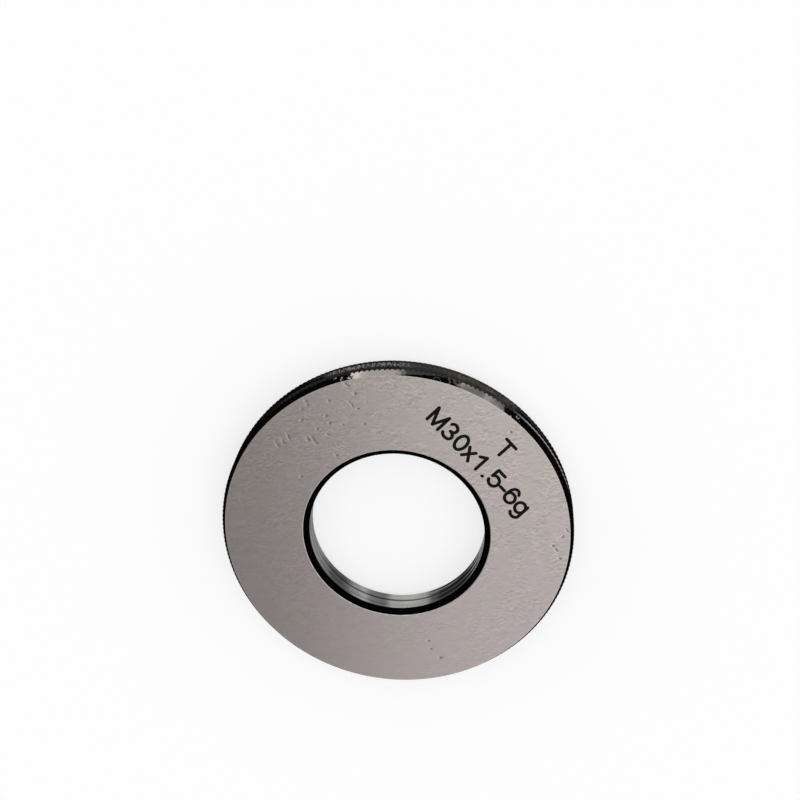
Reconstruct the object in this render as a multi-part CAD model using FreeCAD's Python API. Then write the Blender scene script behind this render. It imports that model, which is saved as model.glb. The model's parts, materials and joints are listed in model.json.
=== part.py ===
import FreeCAD, Part
import math
import os

# A solid thread ring gauge for an M30 x 1.5 external thread.
# One disc of tool steel: faced, bored, countersunk, bevelled and knurled round the rim.
# It lies on its plain rear face. The origin is the middle of that face and +Z is the bore axis,
# so the marked face looks up. All lengths are in millimetres and angles in degrees.

# Disc
outer_diameter = 57.0        # over the crests of the knurl
thickness = 5.5              # rear face to marked face
bevel_length = 1.0           # along the axis, at each end of the rim
bevel_angle = 30.0           # between the bevel and the axis

# Thread that the gauge checks. Its fine grooves are cut outwards from the bore's wall
thread_diameter = 30.0       # nominal, at the bottom of the grooves
thread_pitch = 1.5           # along the axis, from one turn to the next
thread_angle = 60.0          # between the two flanks of a groove

# Countersinks at both ends of the thread
countersink_margin = 0.2     # how far its mouth stands outside the bottom of the grooves
countersink_angle = 110.0    # across the cone

# Straight knurl on the rim
knurl_pitch = 0.8            # crest to crest, round the rim
knurl_depth = 0.18           # crest to root, square to the rim

# The blank runs past the knurl's crests by this much before the ribs are cut
cutting_allowance = 0.3


def bore_radius():
    """Radius of the lands between the grooves: 5/8 of the sharp thread's height inside its nominal radius."""
    sharp_height = thread_pitch / 2 / math.tan(math.radians(thread_angle / 2))
    return thread_diameter / 2 - sharp_height * 5 / 8


def blank():
    """The turned disc: its half section, spun about the axis.

    The bevels run on outwards past the rim, because the knurl closes the rim.
    """
    bore = bore_radius()
    mouth = thread_diameter / 2 + countersink_margin
    sink_depth = (mouth - bore) / math.tan(math.radians(countersink_angle / 2))
    slope = math.tan(math.radians(bevel_angle))
    face = outer_diameter / 2 - bevel_length * slope
    past = outer_diameter / 2 + cutting_allowance
    past_height = bevel_length + cutting_allowance / slope
    half_section = [
        (bore, sink_depth),
        (mouth, 0),
        (face, 0),
        (past, past_height),
        (past, thickness - past_height),
        (face, thickness),
        (mouth, thickness),
        (bore, thickness - sink_depth),
    ]
    corners = [FreeCAD.Vector(r, 0, z) for r, z in half_section]
    profile = Part.Face(Part.makePolygon(corners + corners[:1]))
    return profile.revolve(FreeCAD.Vector(0, 0, 0), FreeCAD.Vector(0, 0, 1), 360)


def knurled_plate():
    """A toothed plate of the disc's thickness, with a whole number of ribs round it.

    Its edge is the knurl. Where the ribs meet the two bevels, they run out in a row of points.
    """
    crest = outer_diameter / 2
    root = crest - knurl_depth
    ribs = round(math.pi * outer_diameter / knurl_pitch)
    half_step = math.pi / ribs
    corners = []
    for rib in range(ribs):
        middle = 2 * rib * half_step
        for radius, angle in ((crest, middle), (root, middle + half_step)):
            corners.append(FreeCAD.Vector(radius * math.cos(angle), radius * math.sin(angle), 0))
    plate = Part.Face(Part.makePolygon(corners + corners[:1]))
    return plate.extrude(FreeCAD.Vector(0, 0, thickness))


os.makedirs("parts", exist_ok=True)
ring_gauge = blank().common(knurled_plate()).Solids[0]
print("valid", ring_gauge.isValid(), "volume", round(ring_gauge.Volume, 2), "faces", len(ring_gauge.Faces))
ring_gauge.exportStep("parts/ring_gauge.step")
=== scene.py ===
# %% [markdown]
# # A thread ring gauge
# A solid thread ring gauge is one disc of tool steel. It is turned, threaded, hardened and blackened.
# Then its two faces are ground bright, its thread is lapped, and its size is marked on one face. So
# one piece of metal shows several finishes: streaky ground steel, black oxide that is rubbed bright
# in places, a knurled rim and a lapped thread. Reflections and light on the rim and in the bore, and
# highlights and shade at the face's pits, are painted into their colours.
# The imported solid gives the true outline. This file rebuilds that outline as one finer mesh that also
# has the thread, gives each surface its finish, adds the marking and sets up a plain studio.

# %% Load the frame
import json
import math

import bmesh
import bpy
from mathutils import Matrix, Vector
from mathutils.geometry import delaunay_2d_cdt


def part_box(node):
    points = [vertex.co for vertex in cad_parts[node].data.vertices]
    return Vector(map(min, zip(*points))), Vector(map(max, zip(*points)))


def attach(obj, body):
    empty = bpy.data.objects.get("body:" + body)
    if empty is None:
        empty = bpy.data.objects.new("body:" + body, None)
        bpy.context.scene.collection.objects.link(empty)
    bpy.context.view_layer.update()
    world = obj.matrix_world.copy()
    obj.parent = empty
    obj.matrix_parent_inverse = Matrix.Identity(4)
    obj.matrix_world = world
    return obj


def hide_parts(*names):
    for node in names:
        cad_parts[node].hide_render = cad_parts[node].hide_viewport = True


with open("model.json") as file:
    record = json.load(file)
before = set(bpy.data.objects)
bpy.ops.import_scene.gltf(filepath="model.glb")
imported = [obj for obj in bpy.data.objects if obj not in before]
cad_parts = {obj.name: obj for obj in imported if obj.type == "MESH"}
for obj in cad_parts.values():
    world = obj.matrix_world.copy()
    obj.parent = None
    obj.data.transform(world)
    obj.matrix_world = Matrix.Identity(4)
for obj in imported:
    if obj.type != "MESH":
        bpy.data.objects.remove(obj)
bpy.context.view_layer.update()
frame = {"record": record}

MM = 0.001

# %% [markdown]
# ## Sizes
# The frame already knows how wide and thick the gauge is, and the record's thread mount knows the
# radius of the lands between the thread's grooves. Reading them here keeps this file true to the
# solid. Only what the solid can't tell, such as the thread's pitch, is a value of its own.

# %% Sizes that the frame gives
low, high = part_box("ring_gauge")
thread_mount = next(m for m in frame["record"]["mounts"] if m["name"] == "thread")
crest_radius = thread_mount["dims"]["r_mm"] * MM
rim_radius = high.x
thickness = high.z - low.z
print("rim radius", round(rim_radius / MM, 3), "mm, thickness", round(thickness / MM, 3), "mm")

# %% Sizes of the finer shape
marking_height = 0.01 * MM          # the marking stands this far proud of the marked face
marked_face = thickness - marking_height
bevel_length = 1.0 * MM             # along the axis
bevel_slope = math.tan(math.radians(30))
face_radius = rim_radius - bevel_length * bevel_slope
edge_break = 0.05 * MM              # the facet that a stone leaves on a sharp edge
thread_radius = 15.0 * MM           # bottom of the grooves
thread_pitch = 1.5 * MM
mouth_radius = thread_radius + 0.2 * MM
sink_slope = math.tan(math.radians(55))
sink_depth = (mouth_radius - crest_radius) / sink_slope
rib_pitch = 0.8 * MM                # crest to crest, before it is rounded to a whole number of ribs
rib_count = round(2 * math.pi * rim_radius / rib_pitch)
rib_depth = 0.12 * MM               # below the worn crest
rib_crest_width = 0.36 * MM         # handling has worn a wide flat on top of each rib
rib_root_width = 0.10 * MM
print(rib_count, "ribs round the rim, countersinks", round(sink_depth / MM, 3), "mm deep")

# %% [markdown]
# ## Helpers for node trees
# Geometry and materials are both made by trees of nodes and wires. `put` adds one node and feeds its
# inputs, each with either a plain value or another node's output. `calc` is the same for one step of
# arithmetic, so that a rule reads nearly like a formula. The other helpers are the few small patterns
# that every finish below is built from.

# %% Nodes and arithmetic
def put(tree, kind, feeds=None, **settings):
    """Adds a node, sets its settings, and feeds its inputs with values or with other outputs."""
    node = tree.nodes.new(kind)
    for name, value in settings.items():
        setattr(node, name, value)
    for key, feed in (feeds or {}).items():
        if isinstance(feed, bpy.types.NodeSocket):
            tree.links.new(feed, node.inputs[key])
        else:
            node.inputs[key].default_value = feed
    return node


def calc(tree, operation, *terms):
    """One step of arithmetic on numbers."""
    return put(tree, "ShaderNodeMath", dict(enumerate(terms)), operation=operation).outputs[0]


def vector_calc(tree, operation, *terms):
    """One step of arithmetic on vectors: a vector comes out first, and then a number."""
    return put(tree, "ShaderNodeVectorMath", dict(enumerate(terms)), operation=operation).outputs


# %% Masks and mixes
def step_up(tree, value, start, end):
    """0 below start, 1 above end and smooth between them, or the other way with start above end."""
    feeds = {"Value": value, "From Min": start, "From Max": end}
    return put(tree, "ShaderNodeMapRange", feeds, interpolation_type="SMOOTHSTEP").outputs[0]


def window(tree, value, start, end, soft):
    """1 between start and end and 0 outside, with edges that are this soft."""
    rise = step_up(tree, value, start - soft, start + soft)
    fall = step_up(tree, value, end + soft, end - soft)
    return calc(tree, "MULTIPLY", rise, fall)


def grey(tone):
    """An even grey from 0, black, to 1, white."""
    return (tone, tone, tone, 1)


def blend(tree, amount, first, second, mode="MIX"):
    """Mixes two colours."""
    feeds = {0: amount, 6: first, 7: second}
    return put(tree, "ShaderNodeMix", feeds, data_type="RGBA", blend_type=mode).outputs[2]


def noise(tree, point, per_metre, stretch=(1, 1, 1), turn=0.0, detail=3.0, roughness=0.55):
    """Noise from 0 to 1 about 0.5, with per_metre lumps in a metre. The lumps are stretched along the
    axes, and then turned about the bore's axis."""
    lump = tuple(s / per_metre for s in stretch)
    feeds = {"Vector": point, "Rotation": (0, 0, turn), "Scale": lump}
    mapped = put(tree, "ShaderNodeMapping", feeds, vector_type="TEXTURE")
    feeds = {"Vector": mapped.outputs[0], "Scale": 1.0, "Detail": detail, "Roughness": roughness}
    return put(tree, "ShaderNodeTexNoise", feeds).outputs[0]


# %% A finish, and the list of all finishes
finishes = {}


def new_finish(name, **constants):
    """A material with one Principled shader, its constants set on the shader's own sockets."""
    material = bpy.data.materials.new(name)
    material.use_nodes = True
    shader = material.node_tree.nodes["Principled BSDF"]
    for label, value in constants.items():
        shader.inputs[label.replace("_", " ")].default_value = value
    return material, material.node_tree, shader


def keep_finish(surface, material):
    """Lists a finish under the surface that wears it."""
    finishes[surface] = material
    print(material.name, "has", len(material.node_tree.nodes), "nodes, for each", surface)


# %% Where a point lies on the gauge
def on_gauge(tree):
    """The point of the gauge that gets its colour."""
    return put(tree, "ShaderNodeTexCoord").outputs["Object"]


def bearing_of(tree, point):
    """Its bearing round the bore's axis, from 0 to 360 degrees."""
    x, y, _ = put(tree, "ShaderNodeSeparateXYZ", {0: point}).outputs
    turn = calc(tree, "DEGREES", calc(tree, "ARCTAN2", y, x))
    return calc(tree, "WRAP", turn, 360.0, 0.0)


def radius_of(tree, point):
    """Its distance from the bore's axis."""
    x, y, _ = put(tree, "ShaderNodeSeparateXYZ", {0: point}).outputs
    return calc(tree, "SQRT", calc(tree, "MULTIPLY_ADD", x, x, calc(tree, "MULTIPLY", y, y)))


def height_of(tree, point):
    """Its height above the rear face."""
    return put(tree, "ShaderNodeSeparateXYZ", {0: point}).outputs[2]


def towards(tree, point, direction):
    """How far it lies along a direction."""
    return vector_calc(tree, "DOT_PRODUCT", point, direction)["Value"]


def torn_bearing(tree, bearing, ragged, degrees):
    """The bearing with noise added, so that a patch that follows it gets a ragged edge."""
    return calc(tree, "MULTIPLY_ADD", calc(tree, "SUBTRACT", ragged, 0.5), degrees, bearing)


# %% [markdown]
# ## Ground faces
# The faces are ground flat on a surface grinder. Its wheel leaves fine straight streaks, and handling
# leaves faint stains, small pits and a few scratches. Noise that is stretched along one direction
# makes the streaks, and rounder, larger noise makes the stains. The pits that stand out most have
# places of their own, each a stretched spot with a wobbly edge.

# %% Pits and scratches that stand out
# place x and y on the face in mm, length and width in mm, direction in degrees
face_marks = [
    (-19.2, 14.2, 1.6, 0.34, -62),
    (-19.9, 13.2, 1.2, 0.30, -58),
    (-20.8, 12.5, 1.3, 0.36, -48),
    (-16.1, 14.3, 0.9, 0.45, -45),
    (-15.3, 14.5, 1.5, 0.34, -55),
    (-14.7, 13.9, 0.5, 0.40, -40),
    (-14.9, 16.4, 0.6, 0.30, 75),
    (-17.2, 20.8, 0.5, 0.40, 20),
    (-16.9, 20.2, 0.5, 0.40, -30),
    (-17.7, 19.3, 0.5, 0.35, 30),
    (-13.7, 21.5, 0.5, 0.40, 0),
    (-13.1, 17.7, 0.5, 0.35, -20),
    (-13.1, 15.7, 0.6, 0.35, 0),
    (-11.0, 17.8, 0.4, 0.35, 0),
    (-10.3, 21.6, 1.5, 0.22, -48),
    (-11.3, 24.7, 1.1, 0.30, -35),
    (-9.9, 23.5, 0.6, 0.35, 10),
    (-7.7, 18.6, 0.5, 0.30, 40),
    (-17.5, 17.4, 0.5, 0.30, 60),
    (-9.1, 21.0, 0.5, 0.30, 20),
    (-9.9, 23.4, 0.5, 0.35, -40),
    (-11.3, 12.4, 0.7, 0.30, -40),
    (-16.4, 7.6, 0.5, 0.35, 0),
    (-13.8, 18.8, 0.5, 0.30, 30),
    (25.1, 2.8, 0.5, 0.35, 0),
    (25.7, 2.2, 0.8, 0.30, -42),
    (26.2, 4.7, 0.6, 0.30, 60),
    (26.8, 5.9, 0.9, 0.25, -35),
    (26.6, 0.7, 0.5, 0.35, 0),
    (10.8, -21.8, 0.6, 0.35, 20),
    (8.9, -20.4, 0.5, 0.30, 0),
    (8.3, -18.9, 0.5, 0.30, 0),
    (14.9, 21.4, 0.5, 0.30, -60),
]
mark_wobble = 0.6 * MM              # how far the edge of a mark strays
print(len(face_marks), "marks on the face")


def marked_spots(tree, point):
    """1 in the middle of each mark and 0 away from them all."""
    wobble = put(tree, "ShaderNodeTexNoise", {"Vector": point, "Scale": 2500.0, "Detail": 2.0})
    shift = vector_calc(tree, "SUBTRACT", wobble.outputs[1], (0.5, 0.5, 0.5))[0]
    shift = vector_calc(tree, "MULTIPLY", shift, (mark_wobble, mark_wobble, mark_wobble))[0]
    moved = vector_calc(tree, "ADD", point, shift)[0]
    deepest = 0.0
    for x, y, length, width, turn in face_marks:
        spot = {
            "Vector": moved,
            "Location": (x * MM, y * MM, marked_face),
            "Rotation": (0, 0, math.radians(turn)),
            "Scale": (length * 0.5 * MM, width * 0.6 * MM, 1.0),
        }
        local = put(tree, "ShaderNodeMapping", spot, vector_type="TEXTURE").outputs[0]
        reach = vector_calc(tree, "LENGTH", local)["Value"]
        deepest = calc(tree, "MAXIMUM", deepest, step_up(tree, reach, 1.6, 0.3))
    return deepest


# %% Small pits
small_pit_turn = math.radians(-50)


def dents(tree, point):
    """How much a place lies in a pit. Small pits lie thickest towards -X and +Y."""
    crowd = step_up(tree, towards(tree, point, (-0.72, 0.69, 0)), 6 * MM, 20 * MM)
    grain = noise(tree, point, 1100, stretch=(1.8, 1, 1), turn=small_pit_turn, roughness=0.6)
    limit = calc(tree, "MULTIPLY_ADD", crowd, -0.10, 0.74)
    pits = step_up(tree, calc(tree, "SUBTRACT", grain, limit), 0.0, 0.12)
    return calc(tree, "MAXIMUM", marked_spots(tree, point), calc(tree, "MULTIPLY", pits, 0.75))


# %% Marks of the grinding wheel
wheel_turn = math.radians(17)       # direction of the streaks
ridge_shift = (0.04 * MM, -0.17 * MM, 0)


def wheel_marks(tree, point):
    """The tone of a ground face about 0.5, then the streaks and the ridges that it is made of."""
    streaks = noise(tree, point, 3400, stretch=(1.8, 1, 1), turn=wheel_turn, detail=2)
    ridge_noise = dict(per_metre=2100, stretch=(1.3, 1, 1), turn=wheel_turn, detail=2)
    ridges = noise(tree, point, **ridge_noise)
    # a ridge is bright on one side and dark on the other: the same noise again, seen a little way
    # over, is taken off
    aside = noise(tree, vector_calc(tree, "ADD", point, ridge_shift)[0], **ridge_noise)
    relief = calc(tree, "SUBTRACT", ridges, aside)
    fine = calc(tree, "MULTIPLY_ADD", relief, 1.35, calc(tree, "MULTIPLY_ADD", streaks, 0.8, -0.4))
    # the wheel bit deeper in patches, and deeper towards +X and +Y
    patches = step_up(tree, noise(tree, point, 300), 0.40, 0.60)
    bite = calc(tree, "MULTIPLY_ADD", towards(tree, point, (0.4, 0.6, 0)), 0.055 / MM, 1.0)
    bite = calc(tree, "MULTIPLY", bite, calc(tree, "MULTIPLY_ADD", patches, 1.15, 0.35))
    mottle = noise(tree, point, 900, stretch=(1.6, 1, 1), turn=wheel_turn, detail=4, roughness=0.6)
    lumpy = calc(tree, "MULTIPLY_ADD", bite, 0.3, 0.4)
    tone = calc(tree, "MULTIPLY_ADD", calc(tree, "SUBTRACT", mottle, 0.5), lumpy, 0.5)
    return calc(tree, "MULTIPLY_ADD", fine, bite, tone), streaks, ridges


# %% Ground steel
# the pits get painted shade, and their lips and the face's outer edge get a painted highlight
lip_highlight_shift = (0.30 * MM, 0.05 * MM, 0)
lip_highlight_colour = (0.80, 0.76, 0.73, 1)
pit_shade_colour = (0.10, 0.085, 0.085, 1)
# a darker and a brighter colour of each
clean_colours = ((0.450, 0.390, 0.386, 1), (0.634, 0.552, 0.546, 1))
stained_colours = ((0.433, 0.397, 0.370, 1), (0.605, 0.559, 0.516, 1))


def ground_steel():
    """Streaky steel with pits and a thin stain, with painted shade in the pits and painted highlights on
    their lips and along the outer edge.
    """
    material, tree, shader = new_finish("ground_steel", Metallic=1.0)
    point = on_gauge(tree)
    tone, streaks, ridges = wheel_marks(tree, point)
    clean = blend(tree, tone, *clean_colours)
    stained = blend(tree, tone, *stained_colours)
    # a thin stain, mostly on the half of the face that has the marking
    cloud = noise(tree, point, 170, detail=4, roughness=0.6)
    cloud = calc(tree, "MULTIPLY_ADD", towards(tree, point, (-0.2, 0.98, 0)), 0.0030 / MM, cloud)
    steel = blend(tree, step_up(tree, cloud, 0.40, 0.62), clean, stained)
    # each pit has painted shade on its floor and a painted highlight on its lip, on one side
    spots = dents(tree, point)
    lips = dents(tree, vector_calc(tree, "ADD", point, lip_highlight_shift)[0])
    # a painted highlight along the outermost part of the face, next to the bevel
    radius = radius_of(tree, point)
    edge_highlight = step_up(tree, radius, face_radius - 0.35 * MM, face_radius - 0.05 * MM)
    lips = calc(tree, "MULTIPLY_ADD", edge_highlight, 0.35, lips)
    steel = blend(tree, calc(tree, "MULTIPLY", lips, 0.55), steel, lip_highlight_colour)
    steel = blend(tree, calc(tree, "MULTIPLY", spots, 0.68), steel, pit_shade_colour)
    tree.links.new(steel, shader.inputs["Base Color"])
    rough = calc(tree, "MULTIPLY_ADD", streaks, 0.10, 0.17)
    rough = calc(tree, "MULTIPLY_ADD", spots, 0.2, rough)
    tree.links.new(rough, shader.inputs["Roughness"])
    height = calc(tree, "MULTIPLY_ADD", spots, -1.5, calc(tree, "MULTIPLY", ridges, 0.5))
    bump = put(tree, "ShaderNodeBump", {"Height": height, "Strength": 0.12, "Distance": 0.03 * MM})
    tree.links.new(bump.outputs[0], shader.inputs["Normal"])
    return material


keep_finish("face", ground_steel())

# %% Stoned edge
def bare_edge():
    """The mouth's edge is drawn over a fine stone, which leaves it a little brighter than the face."""
    material, tree, shader = new_finish("bare_edge", Metallic=1.0, Roughness=0.28)
    nicks = step_up(tree, noise(tree, on_gauge(tree), 1200), 0.35, 0.6)
    steel = blend(tree, nicks, (0.46, 0.42, 0.41, 1), (0.66, 0.62, 0.60, 1))
    tree.links.new(steel, shader.inputs["Base Color"])
    return material


keep_finish("edge", bare_edge())

# %% [markdown]
# ## Black oxide
# Blackening turns the skin of the steel into a thin black oxide. It is whole in the countersinks,
# which nothing touches. Where the gauge was gripped or rubbed, the oxide has thinned to grey smoke or
# has gone, and bare steel shows with a ragged edge. The same patches also carry painted reflections
# on the bevel and painted light on the knurl, with a painted glint, a painted sheen and painted
# highlight lines. These patches follow the bearing round the rim, and noise that is added to the
# bearing tears their edges.

# %% Where the rim is worn, and where reflections and light are painted on it
# the bearings in degrees at which each patch starts and ends
# on the bevel the thin, smoke and bare patches are worn oxide and also painted reflections, and the
# first flecks are a painted glint
bevel_wear_and_reflections = {
    "first flecks": (56, 60),
    "thin": (62.5, 78),
    "smoke_and_sheen": (78, 98),
    "swirls": (78.5, 87),
    "bare": (95, 113),
    "last flecks": (111, 118),
}
# on the knurl the smoke, dust and handled patches are soiled and worn oxide and also painted light, the
# first and last dust are a painted sheen, and both lines are painted highlights
knurl_wear_and_light = {
    "bright line": (27, 56),
    "first dust": (43, 61),
    "dust_and_sheen": (58, 82),
    "smoke_and_sheen": (80, 98),
    "handled_and_lit": (95, 120),
    "faint line": (98, 140),
    "last dust": (120, 127),
}
print(len(bevel_wear_and_reflections), "patches of wear on the bevel,", len(knurl_wear_and_light), "on the knurl")

# %% Colours of the worn rim, and of the reflections and light painted on it
# some colours below also paint light: reflections on the bevel, light and a sheen on the knurl, and a
# glint and highlight lines in bare steel
oxide_colour = (0.0024, 0.0018, 0.0018, 1)
steel_and_highlight_colour = (0.42, 0.388, 0.365, 1)
smoke_and_sheen_colour = (0.048, 0.051, 0.046, 1)
dust_and_sheen_colour = (0.104, 0.092, 0.080, 1)
smudge_colour = (0.050, 0.041, 0.037, 1)
lower_sheen_colour = (0.026, 0.024, 0.022, 1)
swirl_colour = (0.09, 0.085, 0.08, 1)
# a darker and a brighter colour of each
whole_colours = ((0.0008, 0.0007, 0.0007, 1), oxide_colour)
gripped_colours = (oxide_colour, (0.008, 0.007, 0.007, 1))
thin_and_reflection_colours = ((0.15, 0.143, 0.132, 1), (0.31, 0.295, 0.28, 1))
bare_and_reflection_colours = ((0.35, 0.325, 0.305, 1), (0.58, 0.56, 0.525, 1))
print("bare steel, red, green and blue:", steel_and_highlight_colour[:3])

# %% Bevel
wedge_tip = 97.0                    # bearing near which the dark wedge is narrowest
wedge_growth = 0.058                # share of the bevel's width for each degree before its tip
brightens = (107.5, 110.5)          # the bearings between which the bare patch grows bright


def oxide_bevel():
    """Black oxide that is worn on one stretch of the marked face's bevel, with painted reflections and a
    painted glint on that stretch.
    """
    material, tree, shader = new_finish("oxide_bevel", Specular_IOR_Level=0.0)
    point = on_gauge(tree)
    bearing = bearing_of(tree, point)
    height = height_of(tree, point)
    # 0 at the nearer face and 1 at the knurl
    from_face = calc(tree, "MINIMUM", height, calc(tree, "SUBTRACT", marked_face, height))
    across = calc(tree, "DIVIDE", from_face, bevel_length)
    ragged = noise(tree, point, 1500, detail=4, roughness=0.7)
    torn = torn_bearing(tree, bearing, ragged, 9.0)
    # only the marked face's bevel is worn
    upper = step_up(tree, height, thickness / 2, thickness - bevel_length)

    # the smoke, grey oxide that is also a dim painted reflection, stops short of the face, and leaves a
    # dark wedge that is narrow at the bare patch
    smoky_reflection = calc(tree, "MULTIPLY", window(tree, torn, *bevel_wear_and_reflections["smoke_and_sheen"], 1.0), upper)
    before_tip = calc(tree, "SUBTRACT", wedge_tip, torn)
    wedge = calc(tree, "MULTIPLY_ADD", before_tip, wedge_growth, 0.07)
    above = step_up(tree, calc(tree, "SUBTRACT", across, wedge), -0.06, 0.12)
    colour = blend(tree, calc(tree, "MULTIPLY", smoky_reflection, above), oxide_colour, smoke_and_sheen_colour)
    # swirls where a finger wiped the smoke: lines of equal height in soft noise
    swirl = calc(tree, "ABSOLUTE", calc(tree, "SUBTRACT", noise(tree, point, 950, detail=0), 0.5))
    wiped = window(tree, bearing, *bevel_wear_and_reflections["swirls"], 1.5)
    swirl = calc(tree, "MULTIPLY", step_up(tree, swirl, 0.09, 0.02), wiped)
    colour = blend(tree, swirl, colour, swirl_colour)

    # a stretch where the oxide is rubbed thin and cloudy, which is also a painted reflection
    thin = calc(tree, "MULTIPLY", window(tree, torn, *bevel_wear_and_reflections["thin"], 1.0), upper)
    clouds = step_up(tree, noise(tree, point, 260, detail=2), 0.4, 0.6)
    colour = blend(tree, thin, colour, blend(tree, clouds, *thin_and_reflection_colours))

    # the bare patch, bare steel that is also a painted reflection, is brightest at its far end, and the
    # last oxide clings to it next to the knurl
    start, end = bevel_wear_and_reflections["bare"]
    bare = calc(tree, "MULTIPLY", step_up(tree, torn, start, start + 4), upper)
    bare = calc(tree, "MULTIPLY", bare, step_up(tree, torn, end, end - 0.8))
    clings = step_up(tree, calc(tree, "ADD", across, ragged), 1.48, 1.56)
    bare = calc(tree, "MULTIPLY", bare, calc(tree, "MULTIPLY_ADD", clings, -0.8, 1.0))
    bare_steel_and_reflection = blend(tree, step_up(tree, torn, *brightens), *bare_and_reflection_colours)
    colour = blend(tree, bare, colour, bare_steel_and_reflection)

    # a few flecks of steel shine through at both ends of the worn stretch, and the first of them are a
    # painted glint
    flecks = noise(tree, point, 1900, stretch=(1, 1, 2), roughness=0.6)
    first = window(tree, bearing, *bevel_wear_and_reflections["first flecks"], 1)
    last = window(tree, bearing, *bevel_wear_and_reflections["last flecks"], 1)
    flecked = calc(tree, "MULTIPLY", calc(tree, "MAXIMUM", first, last), upper)
    flecks = calc(tree, "MULTIPLY", step_up(tree, flecks, 0.58, 0.64), flecked)
    colour = blend(tree, flecks, colour, steel_and_highlight_colour)

    tree.links.new(colour, shader.inputs["Base Color"])
    shiny = calc(tree, "MAXIMUM", calc(tree, "MAXIMUM", bare, flecks), calc(tree, "MULTIPLY", thin, 0.6))
    tree.links.new(shiny, shader.inputs["Metallic"])
    tree.links.new(calc(tree, "MULTIPLY_ADD", shiny, -0.1, 0.4), shader.inputs["Roughness"])
    return material


keep_finish("bevel", oxide_bevel())

# %% Painted highlight line on the knurl
# heights are from the rear face
highlight_heights = (3.7 * MM, 4.3 * MM)
faint_highlight_heights = (3.2 * MM, 4.6 * MM)
line_fall = 0.02 * MM               # for each degree before its end
line_dip = 2.2                      # between the ribs it runs lower, by this many times their depth


def knurl_highlight_line(tree, height, radius, bearing):
    """A painted highlight along the knurl's upper edge, bright on one side of the gauge and faint on the
    other.
    """
    before_end = calc(tree, "SUBTRACT", knurl_wear_and_light["bright line"][1], bearing)
    raised = calc(tree, "MULTIPLY_ADD", before_end, line_fall, height)
    raised = calc(tree, "MULTIPLY_ADD", calc(tree, "SUBTRACT", rim_radius, radius), line_dip, raised)
    bright = calc(tree, "MULTIPLY", window(tree, raised, *highlight_heights, 0.12 * MM), 0.8)
    bright = calc(tree, "MULTIPLY", bright, window(tree, bearing, *knurl_wear_and_light["bright line"], 4))
    faint = calc(tree, "MULTIPLY", window(tree, height, *faint_highlight_heights, 0.3 * MM), 0.045)
    return calc(tree, "MULTIPLY_ADD", faint, window(tree, bearing, *knurl_wear_and_light["faint line"], 8), bright)


# %% Knurl
strongest_heights = (1.7 * MM, 3.2 * MM)
sheen_heights = (1.2 * MM, 2.4 * MM)


def oxide_knurl():
    """Black oxide on one side of the rim that is greyed, soiled and rubbed down to steel in places, and
    that also carries painted light, a painted sheen and a painted highlight line.
    """
    material, tree, shader = new_finish("oxide_knurl", Specular_IOR_Level=0.0)
    point = on_gauge(tree)
    bearing = bearing_of(tree, point)
    radius = radius_of(tree, point)
    height = height_of(tree, point)
    ragged = noise(tree, point, 700, detail=4, roughness=0.65)
    torn = torn_bearing(tree, bearing, ragged, 10.0)
    # the patches are strongest on the middle of the rim's height
    middle = window(tree, height, *strongest_heights, 0.4 * MM)

    # the oxide, and a painted sheen on the lower half at both ends of the worn stretch
    dull = blend(tree, calc(tree, "MULTIPLY_ADD", ragged, 0.5, 0.1), *gripped_colours)
    first = window(tree, bearing, *knurl_wear_and_light["first dust"], 3)
    last = window(tree, bearing, *knurl_wear_and_light["last dust"], 3)
    lower = window(tree, height, *sheen_heights, 0.3 * MM)
    lower_sheen = calc(tree, "MULTIPLY", calc(tree, "MAXIMUM", first, last), lower)
    dull = blend(tree, lower_sheen, dull, lower_sheen_colour)
    # smoke, and then dust with smudges in it: soiled oxide that is also painted light on this side of
    # the rim
    smoke_and_sheen = window(tree, torn, *knurl_wear_and_light["smoke_and_sheen"], 2)
    smoke_and_sheen = calc(tree, "MULTIPLY", smoke_and_sheen, calc(tree, "MULTIPLY_ADD", middle, 0.4, 0.6))
    dull = blend(tree, smoke_and_sheen, dull, smoke_and_sheen_colour)
    dust_and_sheen = window(tree, torn, *knurl_wear_and_light["dust_and_sheen"], 3)
    dust_and_sheen = calc(tree, "MULTIPLY", dust_and_sheen, calc(tree, "MULTIPLY_ADD", middle, 0.5, 0.5))
    smudges = step_up(tree, noise(tree, point, 1300, detail=4, roughness=0.65), 0.38, 0.62)
    dull = blend(tree, dust_and_sheen, dull, blend(tree, smudges, smudge_colour, dust_and_sheen_colour))

    # flecks of steel on the worn crests of the ribs, in a patch of painted light on this side of the rim
    crest = step_up(tree, radius, rim_radius - rib_depth, rim_radius)
    crest = calc(tree, "MULTIPLY_ADD", crest, 0.35, 0.65)
    flecks = step_up(tree, noise(tree, point, 3200, stretch=(1, 1, 2.5)), 0.36, 0.66)
    handled_and_lit = calc(tree, "MULTIPLY", window(tree, torn, *knurl_wear_and_light["handled_and_lit"], 3), crest)
    bright = calc(tree, "MULTIPLY", calc(tree, "MULTIPLY", handled_and_lit, flecks), middle)
    bright = calc(tree, "MULTIPLY", bright, 0.72)
    bright = calc(tree, "MAXIMUM", bright, knurl_highlight_line(tree, height, radius, bearing))
    tree.links.new(blend(tree, bright, dull, steel_and_highlight_colour), shader.inputs["Base Color"])
    tree.links.new(calc(tree, "MULTIPLY", bright, 0.8), shader.inputs["Metallic"])
    tree.links.new(calc(tree, "MULTIPLY_ADD", ragged, 0.2, 0.4), shader.inputs["Roughness"])
    return material


keep_finish("knurl", oxide_knurl())

# %% Countersinks
def oxide_countersink():
    """The countersinks are never touched, so their oxide is whole."""
    material, tree, shader = new_finish("oxide_countersink", Specular_IOR_Level=0.0)
    turned = noise(tree, on_gauge(tree), 1800)
    tree.links.new(blend(tree, turned, *whole_colours), shader.inputs["Base Color"])
    tree.links.new(calc(tree, "MULTIPLY_ADD", turned, 0.2, 0.3), shader.inputs["Roughness"])
    return material


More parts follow.
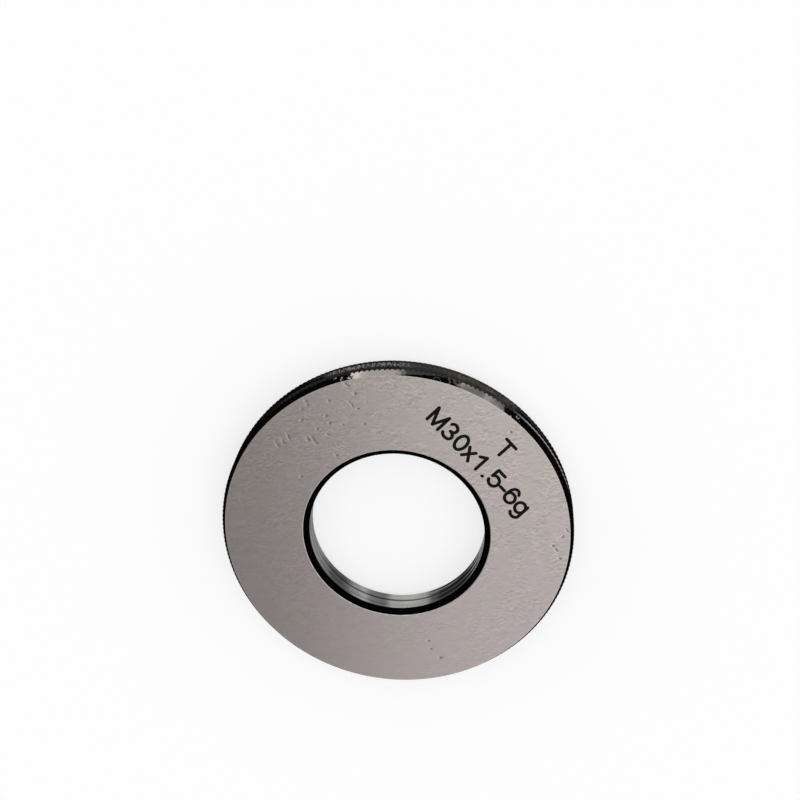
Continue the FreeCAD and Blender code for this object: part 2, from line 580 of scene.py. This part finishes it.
keep_finish("sink", oxide_countersink())

# %% [markdown]
# ## Lapped thread
# A lap charged with fine abrasive brings the thread to size, and leaves it bright. Its tone changes
# slowly round the bore, as painted reflections, and fine lines run along it. A colour ramp over the
# bearing makes the slow change, and noise that is squeezed along the axis makes the lines. The
# bottoms of the grooves get painted shade, and one turn near the rear gets a painted highlight.

# %% Painted reflections round the bore
# painted reflections of the surroundings in the lapped wall
# bearing in degrees, then tone from 0, dark, to 1, bright
bore_reflection_tones = [
    (0, 0.80), (12, 0.60), (40, 0.30), (80, 0.60), (120, 0.35), (160, 0.50), (190, 0.28), (200, 0.36),
    (212, 0.37), (222, 0.26), (229, 0.11), (239, 0.10), (247, 0.46), (254, 0.66), (262, 0.30),
    (270, 0.25), (277, 0.72), (287, 0.80), (295, 0.62), (303, 0.13), (311, 0.03), (328, 0.01),
    (335, 0.06), (343, 0.34), (351, 0.72), (359, 0.80),
]
print(len(bore_reflection_tones), "tones round the bore")


def bore_reflection_tone(tree, bearing):
    """The tone of the painted reflection at a bearing, from a colour ramp."""
    share = calc(tree, "DIVIDE", calc(tree, "WRAP", bearing, 360.0, 0.0), 360.0)
    ramp = put(tree, "ShaderNodeValToRGB", {0: share})
    ramp.color_ramp.interpolation = "EASE"
    stops = ramp.color_ramp.elements
    while len(stops) < len(bore_reflection_tones):
        stops.new(0.5)
    for stop, (angle, tone) in zip(stops, bore_reflection_tones):
        stop.position = angle / 360
        stop.color = grey(tone)
    return ramp.outputs[0]


# %% Lapped thread
# painted shade in the bottoms of the grooves
groove_shade_starts = thread_radius - 0.60 * MM
groove_shade_is_full = thread_radius - 0.42 * MM
groove_shade_heights = (1.4 * MM, 2.6 * MM)
# where the painted highlight on one turn lies
highlight_turn_heights = (1.2 * MM, 1.7 * MM)
highlight_turn_bearings = (301, 322)
lapped_colours = (grey(0.012), (0.52, 0.52, 0.51, 1))


def lapped_thread():
    """Bright steel with painted reflections round the bore, painted shade in the bottoms of the grooves
    and a painted highlight on one turn.
    """
    material, tree, shader = new_finish("lapped_thread", Specular_IOR_Level=0.05)
    point = on_gauge(tree)
    bearing = bearing_of(tree, point)
    height = height_of(tree, point)
    drift = noise(tree, point, 260, detail=2)
    lines = noise(tree, point, 300, stretch=(1, 1, 0.045))
    tone = bore_reflection_tone(tree, torn_bearing(tree, bearing, drift, 12.0))
    tone = calc(tree, "MULTIPLY", tone, calc(tree, "MULTIPLY_ADD", lines, 0.9, 0.55))
    # painted shade in the bottoms of the grooves, on the lower turns
    groove_shade = step_up(tree, radius_of(tree, point), groove_shade_starts, groove_shade_is_full)
    groove_shade = calc(tree, "MULTIPLY", groove_shade, window(tree, height, *groove_shade_heights, 0.2 * MM))
    tone = calc(tree, "MULTIPLY", tone, calc(tree, "MULTIPLY_ADD", groove_shade, -0.7, 1.0))
    # a painted highlight on one turn near the rear
    clean = window(tree, height, *highlight_turn_heights, 0.1 * MM)
    clean = calc(tree, "MULTIPLY", clean, window(tree, bearing, *highlight_turn_bearings, 4))
    tone = calc(tree, "MULTIPLY_ADD", clean, 0.22, tone)
    tree.links.new(blend(tree, tone, *lapped_colours), shader.inputs["Base Color"])
    tree.links.new(step_up(tree, tone, 0.0, 0.12), shader.inputs["Metallic"])
    tree.links.new(calc(tree, "MULTIPLY_ADD", lines, 0.15, 0.22), shader.inputs["Roughness"])
    return material


keep_finish("thread", lapped_thread())
finish_names = list(finishes)
print("finishes:", finish_names)

# %% [markdown]
# ## The disc and its knurl
# One rib of the knurl and the slice of disc behind it make a sector of 1.6 degrees. The sector is a
# strip of faces from the front of the bore, over the rim, to the rear of the bore. Where the rib meets
# the bevels it is cut off at a slant, so each column of the strip meets the bevel at its own height.
# That gives the row of points that a real knurl has along its bevel. Geometry Nodes then stand one
# copy of the sector at each step round the axis, because a whole rim of ribs is one rib repeated.

# %% The outline of one column
def outline(rim):
    """Radius and height of each corner, from the front of the bore to its rear, for a column whose
    rim is this far out. Each comes with the finish of the surface that follows it."""
    bevel_drop = (rim - face_radius) / bevel_slope
    front = [
        (crest_radius, sink_depth, "sink"),
        (mouth_radius - edge_break, edge_break / sink_slope, "edge"),
        (mouth_radius + edge_break, 0.0, "face"),
        (face_radius - edge_break, 0.0, "bevel"),
        (face_radius + edge_break * bevel_slope, edge_break, "bevel"),
        (rim, bevel_drop, "knurl"),
    ]
    places = [(r, marked_face - drop, finish) for r, drop, finish in front]
    rear_finishes = ["bevel", "bevel", "face", "edge", "sink", None]
    for (r, drop, _), finish in zip(reversed(front), rear_finishes):
        places.append((r, drop, finish))
    return places


print("each column has", len(outline(rim_radius)), "corners")

# %% One sector
rib_step = 2 * math.pi / rib_count
crest_half = rib_crest_width / 2 / rim_radius
root_half = rib_root_width / 2 / rim_radius
first_angle = -crest_half
rib_columns = [
    (-crest_half, rim_radius),
    (crest_half, rim_radius),
    (rib_step / 2 - root_half, rim_radius - rib_depth),
    (rib_step / 2 + root_half, rim_radius - rib_depth),
    (rib_step - crest_half, rim_radius),
]


def sector_mesh():
    """The slice of disc behind one rib. Only every other column runs on in to the bore."""
    form = bmesh.new()
    number_layer = form.faces.layers.int.new("finish")
    grid = []
    for number, (rim_angle, rim) in enumerate(rib_columns):
        even_angle = first_angle + number * rib_step / 4
        column = []
        for r, z, _ in outline(rim):
            inner = r < face_radius - 2 * edge_break
            angle = even_angle if inner else rim_angle
            place = (r * math.cos(angle), r * math.sin(angle), z)
            skipped = inner and number % 2
            column.append(None if skipped else form.verts.new(place))
        grid.append(column)
    for row, (_, _, finish) in enumerate(outline(rim_radius)[:-1]):
        for left in (0, 2):
            near = [grid[left + step][row] for step in (0, 1, 2)]
            far = [grid[left + step][row + 1] for step in (0, 1, 2)]
            if None in near or None in far:
                loops = [[v for v in near + far[::-1] if v]]
            else:
                loops = [[near[0], near[1], far[1], far[0]], [near[1], near[2], far[2], far[1]]]
            for loop in loops:
                form.faces.new(loop)[number_layer] = finish_names.index(finish)
    mesh = bpy.data.meshes.new("sector")
    form.to_mesh(mesh)
    form.free()
    return mesh


sector = sector_mesh()
print("one sector has", len(sector.polygons), "faces")

# %% Helpers that build and run a Geometry Nodes tree
def form_tree(name, sizes):
    """An empty Geometry Nodes tree with one geometry input and a named input for each size."""
    tree = bpy.data.node_groups.new(name, "GeometryNodeTree")
    tree.interface.new_socket("Geometry", in_out="INPUT", socket_type="NodeSocketGeometry")
    tree.interface.new_socket("Geometry", in_out="OUTPUT", socket_type="NodeSocketGeometry")
    for label, value in sizes.items():
        kind = "NodeSocketInt" if isinstance(value, int) else "NodeSocketFloat"
        tree.interface.new_socket(label, in_out="INPUT", socket_type=kind)
    return tree, tree.nodes.new("NodeGroupInput").outputs


def finish_tree(tree, geometry):
    """Ends a tree: real geometry, and on each face the material that its finish number names."""
    geometry = put(tree, "GeometryNodeRealizeInstances", {0: geometry}).outputs[0]
    number = put(tree, "GeometryNodeInputNamedAttribute", {"Name": "finish"}, data_type="INT")
    for wanted, material in enumerate(finishes.values()):
        feeds = {2: number.outputs[0], 3: wanted}
        same = put(tree, "FunctionNodeCompare", feeds, data_type="INT", operation="EQUAL")
        feeds = {"Geometry": geometry, "Selection": same.outputs[0], "Material": material}
        geometry = put(tree, "GeometryNodeSetMaterial", feeds).outputs[0]
    put(tree, "NodeGroupOutput", {0: geometry})


def grow(name, start_mesh, tree, sizes):
    """Runs a tree on a mesh and returns the result as a new object with a plain mesh."""
    seed = bpy.data.objects.new(name + "_seed", start_mesh)
    bpy.context.scene.collection.objects.link(seed)
    modifier = seed.modifiers.new(name, "NODES")
    modifier.node_group = tree
    for item in tree.interface.items_tree:
        if item.in_out == "INPUT" and item.name in sizes:
            modifier[item.identifier] = sizes[item.name]
    evaluated = seed.evaluated_get(bpy.context.evaluated_depsgraph_get())
    mesh = bpy.data.meshes.new_from_object(evaluated)
    bpy.data.objects.remove(seed)
    made = bpy.data.objects.new(name, mesh)
    bpy.context.scene.collection.objects.link(made)
    print(name, "has", len(mesh.polygons), "faces")
    return made


# %% Ribs round the axis
disc_sizes = {"Ribs": rib_count}
tree, given = form_tree("knurled_disc", disc_sizes)
points = put(tree, "GeometryNodePoints", {"Count": given["Ribs"]}).outputs[0]
step = calc(tree, "DIVIDE", 2 * math.pi, given["Ribs"])
turn = calc(tree, "MULTIPLY", step, put(tree, "GeometryNodeInputIndex").outputs[0])
spin = put(tree, "ShaderNodeCombineXYZ", {"Z": turn}).outputs[0]
feeds = {"Points": points, "Instance": given["Geometry"], "Rotation": spin}
finish_tree(tree, put(tree, "GeometryNodeInstanceOnPoints", feeds).outputs[0])
disc = grow("disc", sector, tree, disc_sizes)

# %% [markdown]
# ## The threaded wall
# An internal thread is a groove that winds up the wall of the bore. A flat sheet of points is curled
# into a tube, and each point is moved out by the depth of the groove at its place. The sheet is
# skewed as it is curled, one pitch in one turn, so that its rows run along the thread and every ridge
# lies on a row. Its end rows are pressed flat where the countersinks begin. The groove is blended out
# before it gets there, as a gauge maker removes the thin first turn, so both countersinks stay whole.

# %% A sheet of points
rows_per_turn = 32
spare_turns = 2                     # the skewed sheet has to reach past both ends of the bore
wall_turns = math.ceil(thickness / thread_pitch) + spare_turns
wall_sizes = {
    "Columns": rib_count * 2,
    "Rows": wall_turns * rows_per_turn,
    "Turns": float(wall_turns),
    "First angle": first_angle,
    "Pitch": thread_pitch,
    "Groove height": 0.97 * MM,
    "Crest radius": crest_radius,
    "Root radius": thread_radius,
    "Wall start": sink_depth,
    "Wall end": marked_face - sink_depth,
    "Run out": 0.45 * MM,
}
tree, given = form_tree("threaded_wall", wall_sizes)
feeds = {
    "Size X": 1.0,
    "Size Y": 1.0,
    "Vertices X": calc(tree, "ADD", given["Columns"], 1),
    "Vertices Y": calc(tree, "ADD", given["Rows"], 1),
}
sheet = put(tree, "GeometryNodeMeshGrid", feeds).outputs[0]
position = put(tree, "GeometryNodeInputPosition").outputs[0]
place = put(tree, "ShaderNodeSeparateXYZ", {0: position}).outputs
round_bore = calc(tree, "ADD", place[0], 0.5)
turns = calc(tree, "MULTIPLY", calc(tree, "ADD", place[1], 0.5), given["Turns"])
print("the sheet has", wall_sizes["Columns"], "columns and", wall_sizes["Rows"], "rows")

# %% Height of each point
turns_up = calc(tree, "SUBTRACT", calc(tree, "ADD", turns, round_bore), spare_turns)
height = calc(tree, "MULTIPLY_ADD", turns_up, given["Pitch"], given["Groove height"])
height = calc(tree, "MAXIMUM", height, given["Wall start"])
height = calc(tree, "MINIMUM", height, given["Wall end"])

# %% Radius of each point
# a groove's middle is at every whole number of turns, and its bottom is flat for this share of the
# pitch on both sides of it. From there each flank comes in at 30 degrees to the radius
root_flat = 1 / 16
flank_slope = math.tan(math.radians(30))
off_middle = calc(tree, "ABSOLUTE", calc(tree, "SUBTRACT", turns, calc(tree, "ROUND", turns)))
up_flank = calc(tree, "MULTIPLY", calc(tree, "SUBTRACT", off_middle, root_flat), given["Pitch"])
groove = calc(tree, "SUBTRACT", given["Root radius"], calc(tree, "DIVIDE", up_flank, flank_slope))
groove = calc(tree, "MINIMUM", groove, given["Root radius"])
groove_depth = calc(tree, "MAXIMUM", calc(tree, "SUBTRACT", groove, given["Crest radius"]), 0.0)
above_start = calc(tree, "SUBTRACT", height, given["Wall start"])
below_end = calc(tree, "SUBTRACT", given["Wall end"], height)
from_end = calc(tree, "DIVIDE", calc(tree, "MINIMUM", above_start, below_end), given["Run out"])
share_cut = calc(tree, "MINIMUM", from_end, 1.0)
radius = calc(tree, "MULTIPLY_ADD", groove_depth, share_cut, given["Crest radius"])

# %% Curl the sheet
angle = calc(tree, "MULTIPLY_ADD", round_bore, 2 * math.pi, given["First angle"])
feeds = {
    "X": calc(tree, "MULTIPLY", radius, calc(tree, "COSINE", angle)),
    "Y": calc(tree, "MULTIPLY", radius, calc(tree, "SINE", angle)),
    "Z": height,
}
spot = put(tree, "ShaderNodeCombineXYZ", feeds).outputs[0]
curled = put(tree, "GeometryNodeSetPosition", {"Geometry": sheet, "Position": spot}).outputs[0]
feeds = {"Geometry": curled, "Distance": 0.001 * MM}
welded = put(tree, "GeometryNodeMergeByDistance", feeds).outputs[0]
feeds = {"Geometry": welded, "Name": "finish", "Value": finish_names.index("thread")}
numbered = put(tree, "GeometryNodeStoreNamedAttribute", feeds, data_type="INT", domain="FACE")
finish_tree(tree, numbered.outputs[0])
wall = grow("wall", bpy.data.meshes.new("nothing"), tree, wall_sizes)

# %% [markdown]
# ## One body
# The disc and the wall meet along the two crest circles, where they have the same points. Joined and
# welded there, they are one closed skin. Its ridges stay crisp because every edge that turns by more
# than 10 degrees is marked sharp.

# %% Join and weld
with bpy.context.temp_override(active_object=disc, object=disc, selected_editable_objects=[disc, wall]):
    bpy.ops.object.join()
body = disc
body.name = "ring_gauge_steel"
sharp_turn = math.radians(10)
weld_reach = 0.0015 * MM
form = bmesh.new()
form.from_mesh(body.data)
bmesh.ops.remove_doubles(form, verts=form.verts, dist=weld_reach)
bmesh.ops.recalc_face_normals(form, faces=form.faces)
number_layer = form.faces.layers.int["finish"]
for face in form.faces:
    face.smooth = True
    face.material_index = face[number_layer]
for edge in form.edges:
    edge.smooth = edge.is_manifold and edge.calc_face_angle(0) < sharp_turn
open_edges = sum(not edge.is_manifold for edge in form.edges)
print("open edges:", open_edges, "volume in mm3:", round(form.calc_volume(signed=True) / MM**3, 1))

# %% Give the body its finishes
body.data.materials.clear()
for finish in finishes.values():
    body.data.materials.append(finish)
form.to_mesh(body.data)
form.free()
print("triangles:", sum(len(p.vertices) - 2 for p in body.data.polygons))
print("materials:", [material.name for material in body.data.materials])
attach(body, "root")
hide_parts("ring_gauge")

# %% [markdown]
# ## The marking
# The face carries the thread's size and tolerance, and a T for the gauge that has to go on. They are
# cut by a marking laser, which draws each letter as a few strokes of one width with round ends. So
# each letter here is a few pen strokes too. Every piece of a stroke is laid down as a round-ended bar,
# the bars are fused into one flat outline, and the outline gets a hair of thickness.

# %% Letters as pen strokes
def arc(centre, radii, start, end):
    """Points along part of an ellipse, from one angle in degrees to another."""
    count = max(4, round(abs(end - start) / 12))
    angles = [math.radians(start + (end - start) * step / count) for step in range(count + 1)]
    return [(centre[0] + radii[0] * math.cos(a), centre[1] + radii[1] * math.sin(a)) for a in angles]


# the width of each letter with its gap, then its strokes, in mm from its lower left corner
letters = {
    "M": (3.21, [[(0, 0), (0, 2.7), (1.2, 0), (2.4, 2.7), (2.4, 0)]]),
    "3": (2.52, [arc((0.82, 2.03), (0.74, 0.67), 155, -90), arc((0.82, 0.68), (0.88, 0.68), 90, -155)]),
    "0": (2.34, [arc((0.88, 1.35), (0.88, 1.35), 0, 360)]),
    "x": (2.30, [[(0, 1.9), (1.45, 0)], [(1.4, 1.9), (0, 0)]]),
    "1": (2.58, [[(0, 2.0), (0.98, 2.7), (1.0, 0)]]),
    ".": (1.14, [[(-0.03, 0.02), (0.05, 0.06)]]),
    "5": (2.19, [[(1.52, 2.7), (0, 2.7), (-0.04, 1.36)] + arc((0.76, 0.89), (0.92, 0.89), 150, -157)]),
    "-": (1.57, [[(0, 1.03), (1.0, 1.03)]]),
    "6": (2.41, [
        arc((0.9, 1.35), (0.9, 1.35), 40, 180) + [(0, 0.87)],
        arc((0.9, 0.87), (0.9, 0.87), 0, 360),
    ]),
    "g": (2.20, [
        arc((0.87, 0.97), (0.87, 0.93), 0, 360),
        [(1.73, 1.9), (1.77, -0.35)] + arc((0.93, -0.3), (0.84, 0.7), 0, -150),
    ]),
    "T": (2.60, [[(0, 2.7), (2.2, 2.7)], [(1.08, 2.7), (1.1, 0)]]),
}
print("letters:", " ".join(letters))

# %% A line of letters
back_lean = 0.075                   # the letters lean back by this share of their height
line_turn = math.radians(-39.4)
line_start = Vector((1.74, 21.22))
along = Vector((math.cos(line_turn), math.sin(line_turn)))
upward = Vector((-along.y, along.x))


def written(text, start):
    """The strokes of a line of text, each a list of places on the face in mm."""
    strokes = []
    pen = start.copy()
    for letter in text:
        width, parts = letters[letter]
        for part in parts:
            strokes.append([pen + along * (x - back_lean * y) + upward * y for x, y in part])
        pen += along * width
    return strokes


# %% Fuse the strokes and give them thickness
pen_width = 0.54
end_steps = 8                       # straight steps in each round end
inside_only = 1                     # keeps what lies inside a bar, and drops what lies between bars


def bar(start, end):
    """Corners of the round-ended bar that a pen leaves between two places."""
    heading = (end - start).normalized() if (end - start).length > 0 else along
    first = math.atan2(heading.y, heading.x) - math.pi / 2
    corners = []
    for middle, from_angle in ((end, first), (start, first + math.pi)):
        for step in range(end_steps + 1):
            a = from_angle + math.pi * step / end_steps
            corners.append(middle + Vector((math.cos(a), math.sin(a))) * pen_width / 2)
    return corners


def marking(name, strokes, ink):
    """A thin closed piece from strokes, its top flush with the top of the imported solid."""
    corners = []
    bars = []
    for stroke in strokes:
        for start, end in zip(stroke, stroke[1:]):
            bar_corners = bar(start, end)
            bars.append(list(range(len(corners), len(corners) + len(bar_corners))))
            corners += bar_corners
    places, _, faces, _, _, sources = delaunay_2d_cdt(corners, [], bars, inside_only, 1e-5)
    form = bmesh.new()
    verts = [form.verts.new((p.x * MM, p.y * MM, thickness)) for p in places]
    for face, source in zip(faces, sources):
        if source:
            form.faces.new([verts[index] for index in face])
    bmesh.ops.delete(form, geom=[v for v in form.verts if not v.link_faces], context="VERTS")
    bmesh.ops.dissolve_limit(form, angle_limit=math.radians(1), verts=form.verts, edges=form.edges)
    bmesh.ops.triangulate(form, faces=form.faces)
    extruded = bmesh.ops.extrude_face_region(form, geom=form.faces[:])["geom"]
    sunk = [v for v in extruded if isinstance(v, bmesh.types.BMVert)]
    bmesh.ops.translate(form, verts=sunk, vec=(0, 0, -2 * marking_height))
    bmesh.ops.recalc_face_normals(form, faces=form.faces)
    open_edges = sum(not edge.is_manifold for edge in form.edges)
    volume = form.calc_volume(signed=True) / MM**3
    print(name, "has", open_edges, "open edges and", round(volume, 4), "cubic mm")
    mesh = bpy.data.meshes.new(name)
    form.to_mesh(mesh)
    form.free()
    mesh.materials.append(ink)
    piece = bpy.data.objects.new(name, mesh)
    bpy.context.scene.collection.objects.link(piece)
    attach(piece, "root")
    return piece


# %% Ink and the two lines of text
def laser_black():
    """The dull black that the laser leaves on the steel."""
    material, tree, shader = new_finish("laser_black", Specular_IOR_Level=0.1)
    burn = noise(tree, on_gauge(tree), 3500)
    black = blend(tree, burn, (0.0025, 0.002, 0.002, 1), (0.006, 0.005, 0.005, 1))
    tree.links.new(black, shader.inputs["Base Color"])
    tree.links.new(calc(tree, "MULTIPLY_ADD", burn, 0.3, 0.45), shader.inputs["Roughness"])
    return material


ink = laser_black()
go_start = line_start + along * 10.76 + upward * 4.46
marking("size_marking", written("M30x1.5-6g", line_start), ink)
marking("go_mark", written("T", go_start), ink)

# %% [markdown]
# ## The studio
# The gauge lies on a plain white floor under a white sky, as in a light tent. A large grey card hangs
# high on one side, and the sky dims a little low down beyond the gauge. Ground steel mirrors what is
# above it, so the left of the face goes dark and the right stays bright, which is what shows that it
# is metal. The floor is white to the camera and to everything that mirrors it, and still takes the
# gauge's soft shadow.

# %% Floor
floor_gap = 0.01 * MM               # keeps the floor just clear of the gauge's rear face
floor_glow = 0.70                   # makes the floor white where it is seen
floor_colours = (grey(0.80), grey(0.35))    # what lights the gauge, and what is seen
bpy.ops.mesh.primitive_plane_add(size=3.0, location=(0, 0, -floor_gap))
floor = bpy.context.object
floor.name = "floor"
material, tree, shader = new_finish("floor_white", Roughness=0.9, Specular_IOR_Level=0.0)
path = put(tree, "ShaderNodeLightPath").outputs
seen = calc(tree, "MAXIMUM", path["Is Camera Ray"], path["Is Glossy Ray"])
seen = calc(tree, "MAXIMUM", seen, path["Is Transmission Ray"])
tree.links.new(blend(tree, seen, *floor_colours), shader.inputs["Base Color"])
shader.inputs["Emission Color"].default_value = grey(1)
tree.links.new(calc(tree, "MULTIPLY", seen, floor_glow), shader.inputs["Emission Strength"])
floor.data.materials.append(material)
print("the floor is", round(floor.dimensions.x, 2), "m wide")

# %% Sky
card_towards = Vector((-0.589, -0.476, 0.671)).normalized()
card_reach = 35.0                   # half of its width as seen from the gauge, in degrees
card_soft = 2.0
card_grey = grey(0.36)
dim_grey = grey(0.75)
dim_band = (-0.75, -0.25)           # how far along Y the sky is dim, and where it is white again
world = bpy.data.worlds.new("light_tent")
bpy.context.scene.world = world
world.use_nodes = True
tree = world.node_tree
direction = put(tree, "ShaderNodeTexCoord").outputs["Generated"]
nearness = vector_calc(tree, "DOT_PRODUCT", direction, card_towards)["Value"]
off_card = calc(tree, "DEGREES", calc(tree, "ARCCOSINE", nearness))
beyond_card = step_up(tree, off_card, card_reach - card_soft, card_reach + card_soft)
sky = blend(tree, beyond_card, card_grey, grey(1))
along_y = put(tree, "ShaderNodeSeparateXYZ", {0: direction}).outputs[1]
dimmed = blend(tree, step_up(tree, along_y, *dim_band), dim_grey, grey(1))
sky = blend(tree, 1.0, sky, dimmed, mode="MULTIPLY")
to_camera = put(tree, "ShaderNodeLightPath").outputs["Is Camera Ray"]
sky = blend(tree, to_camera, sky, grey(1))
tree.links.new(sky, tree.nodes["Background"].inputs["Color"])
tree.nodes["Background"].inputs["Strength"].default_value = 1.0
print("the card covers", round(2 * card_reach), "degrees of the sky")

# %% [markdown]
# ## Camera
# The camera looks steeply down at the gauge, and it is rolled half over, so that the near part of the
# rim is at the top of the picture.

# %% Camera
camera_place = Vector((0, 114.411, 206.204)) * MM
camera_aim = Vector((-2.884, 23.616, 5.5)) * MM
camera_roll = math.radians(-168.79)
camera = bpy.data.objects.new("camera", bpy.data.cameras.new("camera"))
bpy.context.scene.collection.objects.link(camera)
camera.data.lens = 64.267
camera.data.clip_start = 0.01
facing = (camera_aim - camera_place).to_track_quat("-Z", "Y").to_matrix().to_4x4()
camera.matrix_world = Matrix.Translation(camera_place) @ facing @ Matrix.Rotation(camera_roll, 4, "Z")
bpy.context.scene.camera = camera
bpy.context.scene.view_settings.view_transform = "Standard"
print("camera is", round((camera_aim - camera_place).length / MM, 1), "mm from what it looks at")
